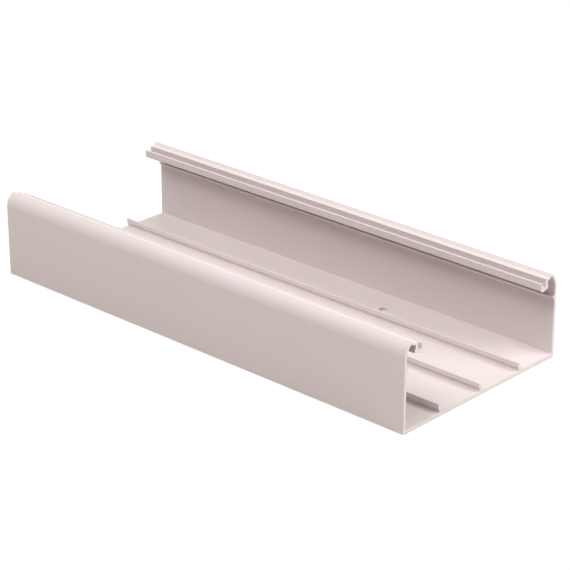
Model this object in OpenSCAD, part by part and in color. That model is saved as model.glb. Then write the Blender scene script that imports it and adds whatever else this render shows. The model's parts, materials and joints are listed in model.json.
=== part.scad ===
// Base of a rectangular cable trunking: one extruded length of rigid plastic, open at the top.
// Each wall rolls over at a rounded shoulder into a ledge that the cover lies on, and the ledge
// turns down into a hooked groove that the cover snaps into. Ribs on the floor hold a partition.
// Frame: origin under the middle of the floor, X along the length, Y across, Z up.

/* [Trunking] */
// Outer width across the two walls
trunk_w = 100; // [80:1:150]
// Outer height, from the underside to the crest of the shoulders
trunk_h = 40; // [30:1:80]
// Length of the cut piece
trunk_len = 240; // [150:10:2000]
// Thickness of the floor
floor_t = 1.7; // [1.2:0.1:2.4]
// Thickness of the side walls and shoulders
wall_t = 1.3; // [1:0.1:1.8]

/* [Shoulder] */
// Outer radius of the rounded shoulder
shoulder_r = 7; // [6:0.1:9]
// Distance from the outer face of the wall in to the crest of the shoulder
crest_in = 4.2; // [3.6:0.1:5.4]
// Thickness of the shoulder at its crest
shoulder_t = 0.9; // [0.8:0.1:1.3]

/* [Cover rail] */
// Depth of the ledge below the crest, the thickness of the cover that lies on it
ledge_drop = 1.2; // [0.8:0.1:1.6]
// Width of the sloping step from the crest down to the ledge
step_run = 1.3; // [0.6:0.1:1.8]
// Width of the ledge
ledge_w = 2.4; // [1.8:0.1:3.2]
// Thickness of the ledge
ledge_t = 0.9; // [0.8:0.1:1.4]
// Thickness of the lip
lip_t = 1.3; // [1:0.1:1.5]
// Depth of the groove floor below the ledge
groove_d = 3.9; // [3.4:0.1:5]
// Width of the groove that the cover snaps into
groove_w = 2.4; // [1.6:0.1:3]
// Thickness of the upstand that closes the groove
upstand_t = 1; // [0.8:0.1:1.6]
// Height of the upstand above the groove floor
upstand_h = 2.7; // [1.6:0.1:3]
// Thickness of the web under the groove, at its lowest line
web_t = 1.6; // [1.2:0.1:2]
// Distance that the front of the upstand reaches below the groove floor
upstand_drop = 0.5; // [0.2:0.1:0.8]
// Width of the slope under the upstand, from its front in to the lowest line of the web
foot_w = 1.6; // [1.2:0.1:2.4]
// Overhang of the snap edge behind the lip
snap_out = 0.7; // [0.2:0.1:1]
// Drop of the snap edge below the groove floor
snap_drop = 0.6; // [0.2:0.1:0.9]
// Rise of the slope that leads from the snap edge up to the back of the lip
snap_rise = 2.2; // [1.2:0.1:2.6]

/* [Retainer bead] */
// Distance from the foot of the shoulder down to the top of the bead
bead_gap = 4.3; // [0.5:0.1:6]
// Distance that the bead stands out from the wall
bead_out = 1.2; // [0.8:0.1:1.6]
// Height of the bead along the wall
bead_h = 2.2; // [1.6:0.1:3]

/* [Partition ribs] */
// Number of ribs on the floor
rib_count = 3; // [1:1:3]
// Distance between neighbouring ribs
rib_pitch = 26.4; // [22:0.1:28]
// Height of a rib above the floor
rib_h = 3.9; // [3:0.1:5]
// Overall width of a rib, from its head to the foot of its sloping back
rib_w = 2.9; // [2.5:0.1:3.6]
// Height of the neck under the overhanging head
rib_neck_h = 1; // [0.8:0.1:1.8]
// Overhang of the head in front of the neck
rib_overhang = 0.7; // [0.4:0.1:1]
// Width of the flat top of the head
rib_top_t = 0.9; // [0.6:0.1:1.2]

/* [Fixing holes] */
// Diameter of the screw holes through the floor
hole_d = 3.8; // [3:0.1:6]
// Distance from the near end to the first hole
hole_first = 83.5; // [20:0.5:120]
// Distance along the length from a hole to the next one, in the other row
hole_step = 100; // [50:1:300]
// Distance from the outer face of a wall in to its row of holes
hole_in = 14.5; // [10:0.1:18]

/* [Edges] */
// Radius of the outer edges along the base
base_r = 0.5; // [0.2:0.1:1]
// Radius of the fillets between the floor and the walls
fillet_r = 0.4; // [0.2:0.1:1]

/* [Hidden] */
$fn = 64;
pvc = [0.91, 0.86, 0.85];
// Overlap of a cutter past the face that it cuts
cut_over = 1;
// The shoulder's centre lies as far below the crest as its arc rises
shoulder_rise = sqrt(pow(shoulder_r, 2) - pow(shoulder_r - crest_in, 2));
shoulder_z = trunk_h - shoulder_rise;
// Its inside is the arc that runs on from the wall and leaves the crest as thick as stated
inside_run = crest_in - wall_t;
inside_r = (pow(inside_run, 2) + pow(shoulder_rise, 2) - pow(shoulder_t, 2))
    / (2 * (inside_run + shoulder_t));
// Where the rail is rooted in the shoulder, inside its thickness and short of the crest
root_in = crest_in - shoulder_t / 2;
root_z = shoulder_z + sqrt(pow(shoulder_r, 2) - pow(shoulder_r - root_in, 2)) - shoulder_t / 2;
// Heights of the rail, from the crest down
ledge_z = trunk_h - ledge_drop;
groove_z = ledge_z - groove_d;
// Distances of the rail in from the outer face of the wall
step_foot = crest_in + step_run;
ledge_edge = step_foot + ledge_w;
groove_edge = ledge_edge + groove_w;
rail_edge = groove_edge + upstand_t;
// Holes that fit on the length
hole_count = floor((trunk_len - hole_first - hole_d) / hole_step) + 1;

// The wall and the arched shoulder that it runs into, with the outer face at zero
module wall_profile() {
    square([wall_t, shoulder_z]);
    translate([0, shoulder_z])
        intersection() {
            difference() {
                translate([shoulder_r, 0])
                    circle(r = shoulder_r);
                translate([wall_t + inside_r, 0])
                    circle(r = inside_r);
            }
            square(shoulder_r);
        }
}

// The ledge, the lip under its edge, and the hooked groove with its round-topped upstand
module rail_profile() {
    lip_back = ledge_edge - lip_t;
    tip_z = groove_z + upstand_h - upstand_t / 2;
    polygon([
        [root_in, root_z],
        [crest_in, trunk_h - shoulder_t / 2],
        [ledge_edge, trunk_h - shoulder_t / 2],
        [ledge_edge, groove_z],
        [groove_edge, groove_z],
        [groove_edge, tip_z],
        [rail_edge, tip_z],
        [rail_edge, groove_z - upstand_drop],
        [rail_edge - foot_w, groove_z - web_t],
        [lip_back - snap_out, groove_z - snap_drop],
        [lip_back, groove_z - snap_drop + snap_rise],
        [lip_back, ledge_z - ledge_t],
        [step_foot - ledge_t / 2, ledge_z - ledge_t]
    ]);
    translate([groove_edge + upstand_t / 2, tip_z])
        intersection() {
            circle(d = upstand_t);
            translate([-upstand_t / 2, 0])
                square(upstand_t);
        }
}

// The space that the edge of the cover fills, above the ledge and inside the crest
module cover_seat() {
    polygon([
        [crest_in - step_run, trunk_h + ledge_drop],
        [crest_in + step_run, ledge_z],
        [rail_edge, ledge_z],
        [rail_edge, trunk_h + ledge_drop]
    ]);
}

// The fillet in the corner between the floor and the wall, rooted in both
module fillet_profile() {
    translate([wall_t, floor_t])
        difference() {
            translate([-wall_t / 2, -floor_t / 2])
                square([wall_t / 2 + fillet_r, floor_t / 2 + fillet_r]);
            translate([fillet_r, fillet_r])
                circle(r = fillet_r);
        }
}

// What rounding takes off the outer edge of the base
module edge_waste() {
    difference() {
        translate([-cut_over, -cut_over])
            square(cut_over + base_r);
        translate([base_r, base_r])
            circle(r = base_r);
    }
}

// A barbed bead along the inside of the wall, nearly flat on top and sloping below
module bead_profile() {
    translate([wall_t, shoulder_z - bead_gap])
        polygon([
            [-wall_t / 2, 0],
            [0, 0],
            [bead_out, -bead_h / 4],
            [0, -bead_h],
            [-wall_t / 2, -bead_h]
        ]);
}

// A rib with an overhanging head in front and a sloping back, rooted in the floor
module rib_profile() {
    head = -rib_w / 2;
    neck = head + rib_overhang;
    polygon([
        [neck, -floor_t / 2],
        [neck, rib_neck_h],
        [head, rib_neck_h + rib_overhang],
        [head, rib_h],
        [head + rib_top_t, rib_h],
        [rib_w / 2, 0],
        [rib_w / 2, -floor_t / 2]
    ]);
}

// Runs a profile along the length, with the profile's own X across and its Y upwards
module along(length) {
    rotate([90, 0, 90])
        linear_extrude(height = length, center = true)
            children();
}

// One wall with its rail and bead, the seat of the cover cut down into them
module side() {
    translate([0, -trunk_w / 2, 0])
        difference() {
            union() {
                along(trunk_len) wall_profile();
                along(trunk_len) rail_profile();
                along(trunk_len) bead_profile();
                along(trunk_len) fillet_profile();
            }
            along(trunk_len + 2 * cut_over) cover_seat();
        }
}

// The floor with its ribs
module ribbed_floor() {
    along(trunk_len)
        translate([-trunk_w / 2, 0])
            square([trunk_w, floor_t]);
    for (i = [0 : rib_count - 1])
        along(trunk_len)
            translate([(i - (rib_count - 1) / 2) * rib_pitch, floor_t])
                rib_profile();
}

// Screw holes through the floor, in two staggered rows
module fixing_holes() {
    row_y = trunk_w / 2 - hole_in;
    for (i = [0 : hole_count - 1])
        translate([
            trunk_len / 2 - hole_first - i * hole_step,
            i % 2 == 0 ? row_y : -row_y,
            -cut_over
        ])
            cylinder(d = hole_d, h = floor_t + 2 * cut_over);
}

// The rounded edge of the base along one wall, as a cutter
module base_edge() {
    translate([0, -trunk_w / 2, 0])
        along(trunk_len + 2 * cut_over) edge_waste();
}

module trunking_base() {
    color(pvc)
        difference() {
            union() {
                ribbed_floor();
                side();
                mirror([0, 1, 0])
                    side();
            }
            fixing_holes();
            base_edge();
            mirror([0, 1, 0])
                base_edge();
        }
}

trunking_base();
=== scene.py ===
"""Base of a cable trunking in warm white rigid plastic, its finish and a plain studio round it."""
import json
import math

import bmesh
import bpy
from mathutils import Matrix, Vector


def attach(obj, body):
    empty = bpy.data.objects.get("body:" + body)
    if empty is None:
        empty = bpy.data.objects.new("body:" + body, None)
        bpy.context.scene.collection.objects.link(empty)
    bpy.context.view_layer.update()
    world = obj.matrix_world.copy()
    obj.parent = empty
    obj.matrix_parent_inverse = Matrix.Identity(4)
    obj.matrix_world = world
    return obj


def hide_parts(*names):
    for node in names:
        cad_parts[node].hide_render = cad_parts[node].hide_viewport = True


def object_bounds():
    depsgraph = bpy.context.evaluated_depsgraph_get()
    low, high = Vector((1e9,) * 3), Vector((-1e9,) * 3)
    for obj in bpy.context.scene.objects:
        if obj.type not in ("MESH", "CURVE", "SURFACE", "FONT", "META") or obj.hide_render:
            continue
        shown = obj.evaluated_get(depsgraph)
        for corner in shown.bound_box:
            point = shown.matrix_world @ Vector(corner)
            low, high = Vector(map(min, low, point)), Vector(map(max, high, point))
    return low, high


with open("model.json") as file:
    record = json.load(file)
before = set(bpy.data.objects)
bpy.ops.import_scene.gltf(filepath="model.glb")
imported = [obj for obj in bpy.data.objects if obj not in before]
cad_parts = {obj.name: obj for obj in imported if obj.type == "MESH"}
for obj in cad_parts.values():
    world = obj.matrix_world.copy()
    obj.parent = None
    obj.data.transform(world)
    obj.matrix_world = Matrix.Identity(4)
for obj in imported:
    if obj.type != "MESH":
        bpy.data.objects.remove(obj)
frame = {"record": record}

cad_low, cad_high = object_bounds()
MM = 0.001

# Overall sizes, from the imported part, in millimetres
TRUNK_W = (cad_high.y - cad_low.y) / MM
TRUNK_H = (cad_high.z - cad_low.z) / MM

# Section of the part, in millimetres: floor, walls and shoulders
FLOOR_T = 1.7
WALL_T = 1.3
SHOULDER_R = 7
CREST_IN = 4.2
SHOULDER_T = 0.9

# Cover rail: the ledge, the lip, the hooked groove and its upstand
LEDGE_DROP = 1.2
STEP_RUN = 1.3
LEDGE_W = 2.4
LEDGE_T = 0.9
LIP_T = 1.3
GROOVE_D = 3.9
GROOVE_W = 2.4
UPSTAND_T = 1
UPSTAND_H = 2.7
WEB_T = 1.6
UPSTAND_DROP = 0.5
FOOT_W = 1.6
SNAP_OUT = 0.7
SNAP_DROP = 0.6
SNAP_RISE = 2.2

# Retainer bead on the inside of each wall
BEAD_GAP = 4.3
BEAD_OUT = 1.2
BEAD_H = 2.2

# Partition ribs on the floor
RIB_COUNT = 3
RIB_PITCH = 26.4
RIB_H = 3.9
RIB_W = 2.9
RIB_NECK_H = 1
RIB_OVERHANG = 0.7
RIB_TOP_T = 0.9

# Radii of the edges as the die, the drill and the saw leave them, in millimetres
EDGE_ROUND = 0.2
FOOT_ROUND = 0.4
BASE_ROUND = 0.5
HOLE_ROUND = 0.42
SAWN_ROUND = 0.1

# Steps of the arcs and of the rounded edges
SHOULDER_STEPS = 28
INSIDE_STEPS = 24
TIP_STEPS = 16
HOLE_SIDES = 72
CORNER_STEPS = 5
HOLE_ROUND_STEPS = 3
SAWN_ROUND_STEPS = 2

# The outline has a corner where it turns by more than the first angle, and the surface has
# a sharp edge where it turns by more than the second
CORNER_TURN = math.radians(25)
SMOOTH_ANGLE = math.radians(32)

# Places closer than this are the same, in millimetres, with more leave round the drilled rims
NEAR = 0.01
RIM_NEAR = 0.02

# Length of the drill, well past both faces of the floor
DRILL_LENGTH = 4 * FLOOR_T

# Heights and distances worked out from the sizes above, in from the outer face of a wall
SHOULDER_RISE = math.sqrt(SHOULDER_R ** 2 - (SHOULDER_R - CREST_IN) ** 2)
SHOULDER_Z = TRUNK_H - SHOULDER_RISE
INSIDE_RUN = CREST_IN - WALL_T
INSIDE_CHORD = INSIDE_RUN ** 2 + SHOULDER_RISE ** 2 - SHOULDER_T ** 2
INSIDE_R = INSIDE_CHORD / (2 * (INSIDE_RUN + SHOULDER_T))
INSIDE_IN = WALL_T + INSIDE_R
LEDGE_Z = TRUNK_H - LEDGE_DROP
GROOVE_Z = LEDGE_Z - GROOVE_D
STEP_FOOT = CREST_IN + STEP_RUN
LEDGE_EDGE = STEP_FOOT + LEDGE_W
LIP_BACK = LEDGE_EDGE - LIP_T
SLOPE_FOOT = STEP_FOOT - LEDGE_T / 2
GROOVE_EDGE = LEDGE_EDGE + GROOVE_W
RAIL_EDGE = GROOVE_EDGE + UPSTAND_T
TIP_R = UPSTAND_T / 2
TIP_Z = GROOVE_Z + UPSTAND_H - TIP_R
SNAP_Z = GROOVE_Z - SNAP_DROP
BEAD_TOP = SHOULDER_Z - BEAD_GAP
BEAD_TIP = BEAD_TOP - BEAD_H / 4


class SectionPen:
    """Draws an outline across the trunking with edit mode tools, from vertex to vertex.
    A place is given by its distance in from the outer face of the front wall and its height."""

    def __init__(self, inward, up):
        self.inward = inward
        self.up = up

    def line(self, inward, up):
        """Draws a straight line to a place."""
        move = (0, (inward - self.inward) * MM, (up - self.up) * MM)
        bpy.ops.mesh.extrude_vertices_move(TRANSFORM_OT_translate={"value": move})
        self.inward = inward
        self.up = up

    def lines(self, *places):
        """Draws straight lines from place to place."""
        for place in places:
            self.line(*place)

    def arc(self, centre_in, centre_up, end_angle, steps):
        """Draws an arc round a centre, as far as an angle from the inward direction."""
        start_in = self.inward - centre_in
        start_up = self.up - centre_up
        radius = math.hypot(start_in, start_up)
        sweep = end_angle - math.atan2(start_up, start_in) % math.tau
        centre = across(centre_in, centre_up)
        bpy.ops.mesh.spin(steps=steps, angle=-sweep, center=centre, axis=(1, 0, 0))
        self.inward = centre_in + radius * math.cos(end_angle)
        self.up = centre_up + radius * math.sin(end_angle)


def across(inward, up):
    """A place on the section at the far end, in metres."""
    return Vector((cad_low.x, cad_low.y + inward * MM, up * MM))


def edit(piece):
    """Edit mode on one piece by itself."""
    if bpy.context.mode != "OBJECT":
        bpy.ops.object.mode_set(mode="OBJECT")
    bpy.ops.object.select_all(action="DESELECT")
    piece.select_set(True)
    bpy.context.view_layer.objects.active = piece
    bpy.ops.object.mode_set(mode="EDIT")


def pick(piece, kind, wanted):
    """Selects the vertices or edges of a piece in edit mode for which wanted is true."""
    bpy.ops.mesh.select_mode(type={"verts": "VERT", "edges": "EDGE"}[kind])
    bpy.ops.mesh.select_all(action="DESELECT")
    shape = bmesh.from_edit_mesh(piece.data)
    for element in getattr(shape, kind):
        if wanted(element):
            element.select_set(True)
    shape.select_flush_mode()
    bmesh.update_edit_mesh(piece.data)


def shoulder_root():
    """Angle at which the slope under the ledge meets the inside of the shoulder."""
    root_in = CREST_IN - SHOULDER_T / 2
    root_up = math.sqrt(SHOULDER_R ** 2 - (SHOULDER_R - root_in) ** 2) - SHOULDER_T / 2
    start = Vector((SLOPE_FOOT - INSIDE_IN, LEDGE_Z - LEDGE_T - SHOULDER_Z))
    along = (Vector((root_in - INSIDE_IN, root_up)) - start).normalized()
    half = start.dot(along)
    reach = -half + math.sqrt(half ** 2 - start.length_squared + INSIDE_R ** 2)
    meet = start + along * reach
    return math.atan2(meet.y, meet.x)


def draw_side(pen):
    """The inside of a wall from the floor up, its rail, and its outside down to the ground."""
    pen.lines(
        (WALL_T, BEAD_TOP - BEAD_H),
        (WALL_T + BEAD_OUT, BEAD_TIP),
        (WALL_T, BEAD_TOP),
        (WALL_T, SHOULDER_Z),
    )
    pen.arc(INSIDE_IN, SHOULDER_Z, shoulder_root(), INSIDE_STEPS)
    pen.lines(
        (SLOPE_FOOT, LEDGE_Z - LEDGE_T),
        (LIP_BACK, LEDGE_Z - LEDGE_T),
        (LIP_BACK, SNAP_Z + SNAP_RISE),
        (LIP_BACK - SNAP_OUT, SNAP_Z),
        (RAIL_EDGE - FOOT_W, GROOVE_Z - WEB_T),
        (RAIL_EDGE, GROOVE_Z - UPSTAND_DROP),
        (RAIL_EDGE, TIP_Z),
    )
    pen.arc(GROOVE_EDGE + TIP_R, TIP_Z, math.pi, TIP_STEPS)
    pen.lines(
        (GROOVE_EDGE, GROOVE_Z),
        (LEDGE_EDGE, GROOVE_Z),
        (LEDGE_EDGE, LEDGE_Z),
        (STEP_FOOT, LEDGE_Z),
        (CREST_IN, TRUNK_H),
    )
    pen.arc(SHOULDER_R, SHOULDER_Z, math.pi, SHOULDER_STEPS)
    pen.line(0, 0)


def draw_floor(pen):
    """The top of the floor with its ribs, from the front wall to the back wall."""
    for number in range(RIB_COUNT):
        middle = TRUNK_W / 2 + (number - (RIB_COUNT - 1) / 2) * RIB_PITCH
        head = middle - RIB_W / 2
        neck = head + RIB_OVERHANG
        pen.lines(
            (neck, FLOOR_T),
            (neck, FLOOR_T + RIB_NECK_H),
            (head, FLOOR_T + RIB_NECK_H + RIB_OVERHANG),
            (head, FLOOR_T + RIB_H),
            (head + RIB_TOP_T, FLOOR_T + RIB_H),
            (middle + RIB_W / 2, FLOOR_T),
        )
    pen.line(TRUNK_W - WALL_T, FLOOR_T)


def draw_section():
    """The whole section as one face at the far end: one side, its mirror image and the floor."""
    corner = across(WALL_T, FLOOR_T)
    bpy.ops.object.select_all(action="DESELECT")
    bpy.ops.mesh.primitive_plane_add(size=MM, location=corner)
    profile = bpy.context.object
    profile.name = "trunking_profile"
    bpy.ops.object.transform_apply(location=True, rotation=True, scale=True)
    edit(profile)
    bpy.ops.mesh.merge(type="CENTER")
    draw_side(SectionPen(WALL_T, FLOOR_T))
    bpy.ops.mesh.select_all(action="SELECT")
    bpy.ops.mesh.duplicate()
    bpy.ops.transform.resize(value=(1, -1, 1), center_override=(0, 0, 0))
    pick(profile, "verts", lambda vert: (vert.co - corner).length < NEAR * MM)
    draw_floor(SectionPen(WALL_T, FLOOR_T))
    bpy.ops.mesh.select_all(action="SELECT")
    bpy.ops.mesh.remove_doubles(threshold=NEAR * MM)
    bpy.ops.mesh.edge_face_add()
    return profile


def turn(vert):
    """Angle by which the outline turns at a vertex."""
    first, second = (edge.other_vert(vert).co - vert.co for edge in vert.link_edges)
    return math.pi - first.angle(second)


def at_height(vert, height):
    """Whether a vertex lies at a height, given in millimetres."""
    return abs(vert.co.z - height * MM) < NEAR * MM


def round_corners(profile):
    """Rounds the corners of the section as a die does, wider at the feet of the ribs and walls."""

    def corner_at(height):
        return lambda vert: turn(vert) > CORNER_TURN and at_height(vert, height)

    def loose_corner(vert):
        on_floor = at_height(vert, 0) or at_height(vert, FLOOR_T)
        return turn(vert) > CORNER_TURN and not on_floor

    for wanted, size in (
        (loose_corner, EDGE_ROUND),
        (corner_at(FLOOR_T), FOOT_ROUND),
        (corner_at(0), BASE_ROUND),
    ):
        pick(profile, "verts", wanted)
        bpy.ops.mesh.bevel(offset=size * MM, segments=CORNER_STEPS, affect="VERTICES")


def run_length():
    """Runs the section along the trunking and turns its faces outwards."""
    bpy.ops.mesh.select_all(action="SELECT")
    run = (cad_high.x - cad_low.x, 0, 0)
    bpy.ops.mesh.extrude_region_move(TRANSFORM_OT_translate={"value": run})
    bpy.ops.mesh.select_all(action="SELECT")
    bpy.ops.mesh.normals_make_consistent(inside=False)
    bpy.ops.object.mode_set(mode="OBJECT")


def hole_mounts():
    """The screw holes that the record states: the middle of each in metres, and its radius."""
    return [
        (Vector(mount["pos_m"]), mount["dims"]["r_mm"] * MM)
        for mount in frame["record"]["mounts"]
        if mount["kind"] == "bore"
    ]


def drill_holes(profile):
    """Drills the screw holes through the floor."""
    for middle, radius in hole_mounts():
        bpy.ops.object.select_all(action="DESELECT")
        bpy.ops.mesh.primitive_cylinder_add(
            vertices=HOLE_SIDES, radius=radius, depth=DRILL_LENGTH * MM, location=middle
        )
        drill = bpy.context.object
        cut = profile.modifiers.new("drill", "BOOLEAN")
        cut.object = drill
        cut.operation = "DIFFERENCE"
        cut.solver = "EXACT"
        bpy.context.view_layer.objects.active = profile
        bpy.ops.object.modifier_apply(modifier=cut.name)
        bpy.data.objects.remove(drill)


def on_rim(vert, middle, radius):
    """Whether a vertex lies on the wall of a hole."""
    return abs((vert.co.xy - middle.xy).length - radius) < RIM_NEAR * MM


def break_edges(profile):
    """Breaks the sharp rims of the holes and of the sawn ends."""
    edit(profile)

    def hole_rim(edge):
        flat = abs(edge.verts[0].co.z - edge.verts[1].co.z) < NEAR * MM
        return flat and any(
            all(on_rim(vert, middle, radius) for vert in edge.verts)
            for middle, radius in hole_mounts()
        )

    def sawn_rim(edge):
        ends = [abs(vert.co.x) for vert in edge.verts]
        return min(ends) > cad_high.x - NEAR * MM

    for wanted, size, steps in (
        (hole_rim, HOLE_ROUND, HOLE_ROUND_STEPS),
        (sawn_rim, SAWN_ROUND, SAWN_ROUND_STEPS),
    ):
        pick(profile, "edges", wanted)
        bpy.ops.mesh.bevel(offset=size * MM, segments=steps, affect="EDGES")
    bpy.ops.object.mode_set(mode="OBJECT")


def finish_mesh(profile):
    """Smooth arcs and flat flats: sharp edges by angle, and normals weighted by face area."""
    bpy.ops.object.select_all(action="DESELECT")
    profile.select_set(True)
    bpy.context.view_layer.objects.active = profile
    bpy.ops.object.shade_smooth_by_angle(angle=SMOOTH_ANGLE)
    weighted = profile.modifiers.new("flat_faces", "WEIGHTED_NORMAL")
    weighted.keep_sharp = True
    bpy.ops.object.modifier_apply(modifier=weighted.name)


def make_profile():
    """The trunking, in the order in which it is made: drawn, run out, drilled and broken."""
    profile = draw_section()
    round_corners(profile)
    run_length()
    drill_holes(profile)
    break_edges(profile)
    finish_mesh(profile)
    return profile


# Finishes: the skin as the die leaves it, and the paler end faces that the saw cuts
SKIN_PALE = (0.680, 0.618, 0.606, 1)
SKIN_DEEP = (0.660, 0.598, 0.586, 1)
SKIN_ROUGH = (0.56, 0.66)
SKIN_RELIEF = 0.06
CUT_PALE = (0.74, 0.722, 0.706, 1)
CUT_DEEP = (0.68, 0.659, 0.643, 1)
CUT_ROUGH = (0.5, 0.68)
CUT_RELIEF = 0.03
PLASTIC_IOR = 1.53

# Die lines: how many waves run along, across and up in a metre
DIE_LINES = (0.3, 900, 900)

# Saw marks: the blade's middle, as the shift that brings it to nought, in metres, and its arcs
BLADE_SHIFT = (0, 0.06, 0.16)
BLADE_ARCS = 520

# Sawn faces look along the length by more than this share, and lie this near to an end
SAWN_FACING = 0.9
SAWN_DEPTH = 0.2

MIDDLE_TONE = 0.5


def add(tree, kind, **settings):
    """A node with some of its settings changed."""
    made = tree.nodes.new(kind)
    for name, value in settings.items():
        setattr(made, name, value)
    return made


def fill(made, **values):
    """Sets input sockets of a node, named with underscores for spaces."""
    for name, value in values.items():
        made.inputs[name.replace("_", " ")].default_value = value


def effect_group(name, inputs, output):
    """An empty node group with a place, some numbers and one value that it puts out."""
    group = bpy.data.node_groups.new(name, "ShaderNodeTree")
    group.interface.new_socket("Place", in_out="INPUT", socket_type="NodeSocketVector")
    for socket in inputs:
        group.interface.new_socket(socket, in_out="INPUT", socket_type="NodeSocketFloat")
    group.interface.new_socket(output, in_out="OUTPUT", socket_type="NodeSocketFloat")
    return group, add(group, "NodeGroupInput"), add(group, "NodeGroupOutput")


def noise(tree, place, **values):
    """A noise texture over a place, as a value from nothing to one."""
    texture = add(tree, "ShaderNodeTexNoise")
    fill(texture, **values)
    tree.links.new(place, texture.inputs["Vector"])
    return texture


def cloudy_tone():
    """Slow changes of tone over the plastic, from nothing to one."""
    group, given, result = effect_group("cloudy_tone", ("Scale", "Contrast"), "Tone")
    cloud = noise(group, given.outputs["Place"], Detail=3, Roughness=0.5)
    group.links.new(given.outputs["Scale"], cloud.inputs["Scale"])
    spread = add(group, "ShaderNodeMapRange")
    group.links.new(cloud.outputs["Fac"], spread.inputs["Value"])
    for operation, socket in (("SUBTRACT", "From Min"), ("ADD", "From Max")):
        bound = add(group, "ShaderNodeMath", operation=operation)
        bound.inputs[0].default_value = MIDDLE_TONE
        group.links.new(given.outputs["Contrast"], bound.inputs[1])
        group.links.new(bound.outputs["Value"], spread.inputs[socket])
    group.links.new(spread.outputs["Result"], result.inputs["Tone"])
    return group


def fine_grain():
    """The fine matt grain of the plastic, as a height from nothing to one."""
    group, given, result = effect_group("fine_grain", ("Scale",), "Height")
    grain = noise(group, given.outputs["Place"], Detail=2, Roughness=0.6)
    group.links.new(given.outputs["Scale"], grain.inputs["Scale"])
    group.links.new(grain.outputs["Fac"], result.inputs["Height"])
    return group


CLOUDY_TONE = cloudy_tone()
FINE_GRAIN = fine_grain()


def place_effect(tree, group, place, **values):
    """Places a shared effect in a material, with values of its own."""
    effect = add(tree, "ShaderNodeGroup", node_tree=group)
    tree.links.new(place, effect.inputs["Place"])
    fill(effect, **values)
    return effect.outputs[0]


def mapped(tree, place, **values):
    """A place that is shifted or scaled."""
    mapping = add(tree, "ShaderNodeMapping")
    fill(mapping, **values)
    tree.links.new(place, mapping.inputs["Vector"])
    return mapping.outputs["Vector"]


def blend(tree, first, second, share):
    """Two values mixed, with the given share of the second."""
    mixed = add(tree, "ShaderNodeMix", data_type="FLOAT")
    mixed.inputs["Factor"].default_value = share
    tree.links.new(first, mixed.inputs["A"])
    tree.links.new(second, mixed.inputs["B"])
    return mixed.outputs["Result"]


def stretch(tree, value, ends):
    """A value from nothing to one, spread between two ends."""
    low, high = ends
    spread = add(tree, "ShaderNodeMapRange")
    fill(spread, To_Min=low, To_Max=high)
    tree.links.new(value, spread.inputs["Value"])
    return spread.outputs["Result"]


def start_plastic(name):
    """A new material, its node tree and the place on the object."""
    material = bpy.data.materials.new(name)
    material.use_nodes = True
    tree = material.node_tree
    place = add(tree, "ShaderNodeTexCoord").outputs["Object"]
    return material, tree, place


def colour_plastic(tree, deep, pale, tone):
    """Gives a plastic a colour that follows a tone, from deep to pale."""
    colour = add(tree, "ShaderNodeMix", data_type="RGBA")
    ends = [socket for socket in colour.inputs if socket.type == "RGBA"]
    ends[0].default_value = deep
    ends[1].default_value = pale
    tree.links.new(tone, colour.inputs["Factor"])
    mixed = [socket for socket in colour.outputs if socket.type == "RGBA"]
    tree.links.new(mixed[0], tree.nodes["Principled BSDF"].inputs["Base Color"])


def finish_plastic(tree, rough, height, relief):
    """Gives a plastic its roughness and a relief, in millimetres, over its surface."""
    shader = tree.nodes["Principled BSDF"]
    fill(shader, IOR=PLASTIC_IOR)
    tree.links.new(rough, shader.inputs["Roughness"])
    bump = add(tree, "ShaderNodeBump")
    fill(bump, Strength=1, Distance=relief * MM)
    tree.links.new(height, bump.inputs["Height"])
    tree.links.new(bump.outputs["Normal"], shader.inputs["Normal"])


def extruded_skin():
    """The satin skin: nearly even, with fine lines that the die draws along the length."""
    material, tree, place = start_plastic("extruded_skin")
    along = mapped(tree, place, Scale=DIE_LINES)
    lines = noise(tree, along, Scale=1, Detail=2, Roughness=0.6).outputs["Fac"]
    cloud = place_effect(tree, CLOUDY_TONE, place, Scale=26, Contrast=0.22)
    grain = place_effect(tree, FINE_GRAIN, place, Scale=1600)
    colour_plastic(tree, SKIN_DEEP, SKIN_PALE, blend(tree, cloud, lines, 0.35))
    rough = stretch(tree, blend(tree, cloud, lines, 0.5), SKIN_ROUGH)
    finish_plastic(tree, rough, blend(tree, lines, grain, 0.3), SKIN_RELIEF)
    return material


def cut_face():
    """The paler faces of the sawn ends, with the fine arcs that the blade leaves."""
    material, tree, place = start_plastic("cut_face")
    wave = add(tree, "ShaderNodeTexWave", wave_type="RINGS", rings_direction="X")
    fill(wave, Scale=BLADE_ARCS, Distortion=3, Detail=3, Detail_Scale=0.4)
    tree.links.new(mapped(tree, place, Location=BLADE_SHIFT), wave.inputs["Vector"])
    arcs = wave.outputs["Fac"]
    cloud = place_effect(tree, CLOUDY_TONE, place, Scale=220, Contrast=0.25)
    grain = place_effect(tree, FINE_GRAIN, place, Scale=2600)
    colour_plastic(tree, CUT_DEEP, CUT_PALE, blend(tree, cloud, arcs, 0.4))
    rough = stretch(tree, blend(tree, grain, arcs, 0.5), CUT_ROUGH)
    finish_plastic(tree, rough, blend(tree, arcs, grain, 0.4), CUT_RELIEF)
    return material


def paint(piece):
    """The skin all over, and the cut finish on the sawn ends."""
    piece.data.materials.clear()
    piece.data.materials.append(extruded_skin())
    piece.data.materials.append(cut_face())
    for face in piece.data.polygons:
        at_end = abs(face.center.x) > cad_high.x - SAWN_DEPTH * MM
        sawn = at_end and abs(face.normal.x) > SAWN_FACING
        face.material_index = 1 if sawn else 0


trunking = make_profile()
paint(trunking)
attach(trunking, "root")
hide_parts("trunking_base")

# Camera at the photograph's place, in metres, and its lens and sensor in millimetres
CAMERA_AT = Vector((0.6176, -0.6536, 0.4082))
LOOK_AT = Vector((0.01442, -0.00592, 0.02011))
CAMERA_LENS = 138.79
CAMERA_SENSOR = 36
CAMERA_ROLL = math.radians(-0.024)

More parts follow.
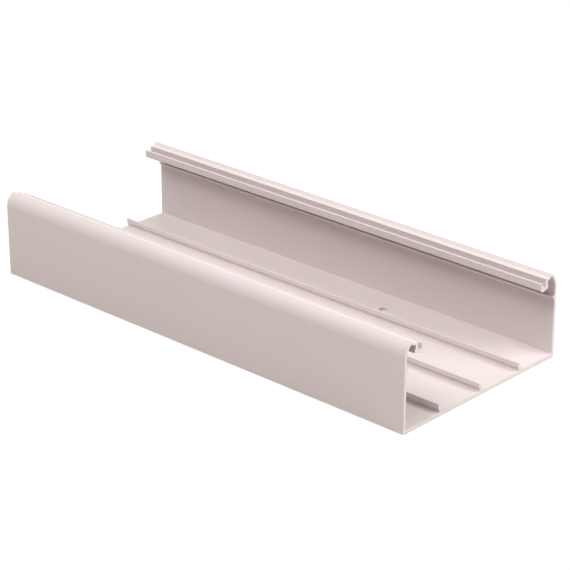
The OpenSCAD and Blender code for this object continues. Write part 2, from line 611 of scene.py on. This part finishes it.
# Studio: a pale ground that looks white, a faint dome of light and soft lamps
WHITE = (1, 1, 1, 1)
GROUND_SIZE = 8
GROUND_DROP = 0.1 * MM
GROUND_BOUNCE = (0.60, 0.545, 0.525, 1)
GROUND_GLOW = 0.88
DOME_LEVEL = 0.005
LAMP_DISTANCE = 2.2
LAMP_COLOUR = (1, 0.97, 0.97)

# Each lamp: its azimuth and elevation in degrees, its size in metres and its level
LAMPS = {
    "front_lamp": (0, 64, 1.4, 0.70),
    "back_lamp": (120, 46, 1.5, 0.87),
    "side_lamp": (330, 46, 1.4, 0.28),
    "rim_lamp": (210, 14, 0.9, 0.25),
    "end_lamp": (100, 14, 0.9, 0.17),
}


def set_camera():
    """The camera, aimed as the photograph's was."""
    data = bpy.data.cameras.new("camera")
    data.lens = CAMERA_LENS
    data.sensor_width = CAMERA_SENSOR
    camera = bpy.data.objects.new("camera", data)
    bpy.context.scene.collection.objects.link(camera)
    camera.location = CAMERA_AT
    camera.rotation_euler = (LOOK_AT - CAMERA_AT).to_track_quat("-Z", "Y").to_euler()
    camera.rotation_euler.rotate_axis("Z", CAMERA_ROLL)
    bpy.context.scene.camera = camera


def seen_directly(tree):
    """One for rays that come straight from the camera or by gloss or glass, nothing for others."""
    light_path = add(tree, "ShaderNodeLightPath")
    total = light_path.outputs["Is Camera Ray"]
    for ray in ("Is Glossy Ray", "Is Transmission Ray"):
        either = add(tree, "ShaderNodeMath", operation="MAXIMUM")
        tree.links.new(total, either.inputs[0])
        tree.links.new(light_path.outputs[ray], either.inputs[1])
        total = either.outputs["Value"]
    return total


def ground_paper():
    """Paper that looks white and keeps a faint shadow, and throws back a part of the light."""
    material = bpy.data.materials.new("ground_paper")
    material.use_nodes = True
    tree = material.node_tree
    tree.nodes.clear()
    bounce = add(tree, "ShaderNodeBsdfDiffuse")
    fill(bounce, Color=GROUND_BOUNCE)
    shade = add(tree, "ShaderNodeBsdfDiffuse")
    fill(shade, Color=WHITE)
    glow = add(tree, "ShaderNodeEmission")
    fill(glow, Strength=1)
    look = add(tree, "ShaderNodeMixShader")
    fill(look, Fac=GROUND_GLOW)
    tree.links.new(shade.outputs["BSDF"], look.inputs[1])
    tree.links.new(glow.outputs["Emission"], look.inputs[2])
    paper = add(tree, "ShaderNodeMixShader")
    tree.links.new(seen_directly(tree), paper.inputs["Fac"])
    tree.links.new(bounce.outputs["BSDF"], paper.inputs[1])
    tree.links.new(look.outputs["Shader"], paper.inputs[2])
    surface = add(tree, "ShaderNodeOutputMaterial")
    tree.links.new(paper.outputs["Shader"], surface.inputs["Surface"])
    return material


def lay_ground():
    """The ground, a hair below the underside."""
    bpy.ops.object.select_all(action="DESELECT")
    bpy.ops.mesh.primitive_plane_add(size=GROUND_SIZE, location=(0, 0, -GROUND_DROP))
    ground = bpy.context.object
    ground.name = "ground"
    ground.data.materials.append(ground_paper())


def light_dome():
    """A world that looks as pale as the far ground, and lights the trunking faintly all round."""
    world = bpy.data.worlds.new("studio_dome")
    bpy.context.scene.world = world
    world.use_nodes = True
    tree = world.node_tree
    level = stretch(tree, seen_directly(tree), (DOME_LEVEL, GROUND_GLOW))
    sky = tree.nodes["Background"]
    fill(sky, Color=WHITE)
    tree.links.new(level, sky.inputs["Strength"])


def hang_lamp(name, azimuth, elevation, size, level):
    """A square soft lamp aimed at the trunking, with the level that it lends a white card."""
    data = bpy.data.lights.new(name, "AREA")
    data.shape = "SQUARE"
    data.size = size
    data.color = LAMP_COLOUR
    data.energy = level * (math.pi * LAMP_DISTANCE) ** 2
    lamp = bpy.data.objects.new(name, data)
    bpy.context.scene.collection.objects.link(lamp)
    round_by = math.radians(azimuth)
    up_by = math.radians(elevation)
    towards = Vector((
        math.sin(round_by) * math.cos(up_by),
        -math.cos(round_by) * math.cos(up_by),
        math.sin(up_by),
    ))
    lamp.location = towards * LAMP_DISTANCE
    lamp.rotation_euler = towards.to_track_quat("Z", "Y").to_euler()


set_camera()
lay_ground()
light_dome()
for lamp_name, lamp_values in LAMPS.items():
    hang_lamp(lamp_name, *lamp_values)

bpy.context.scene.view_settings.view_transform = "Standard"
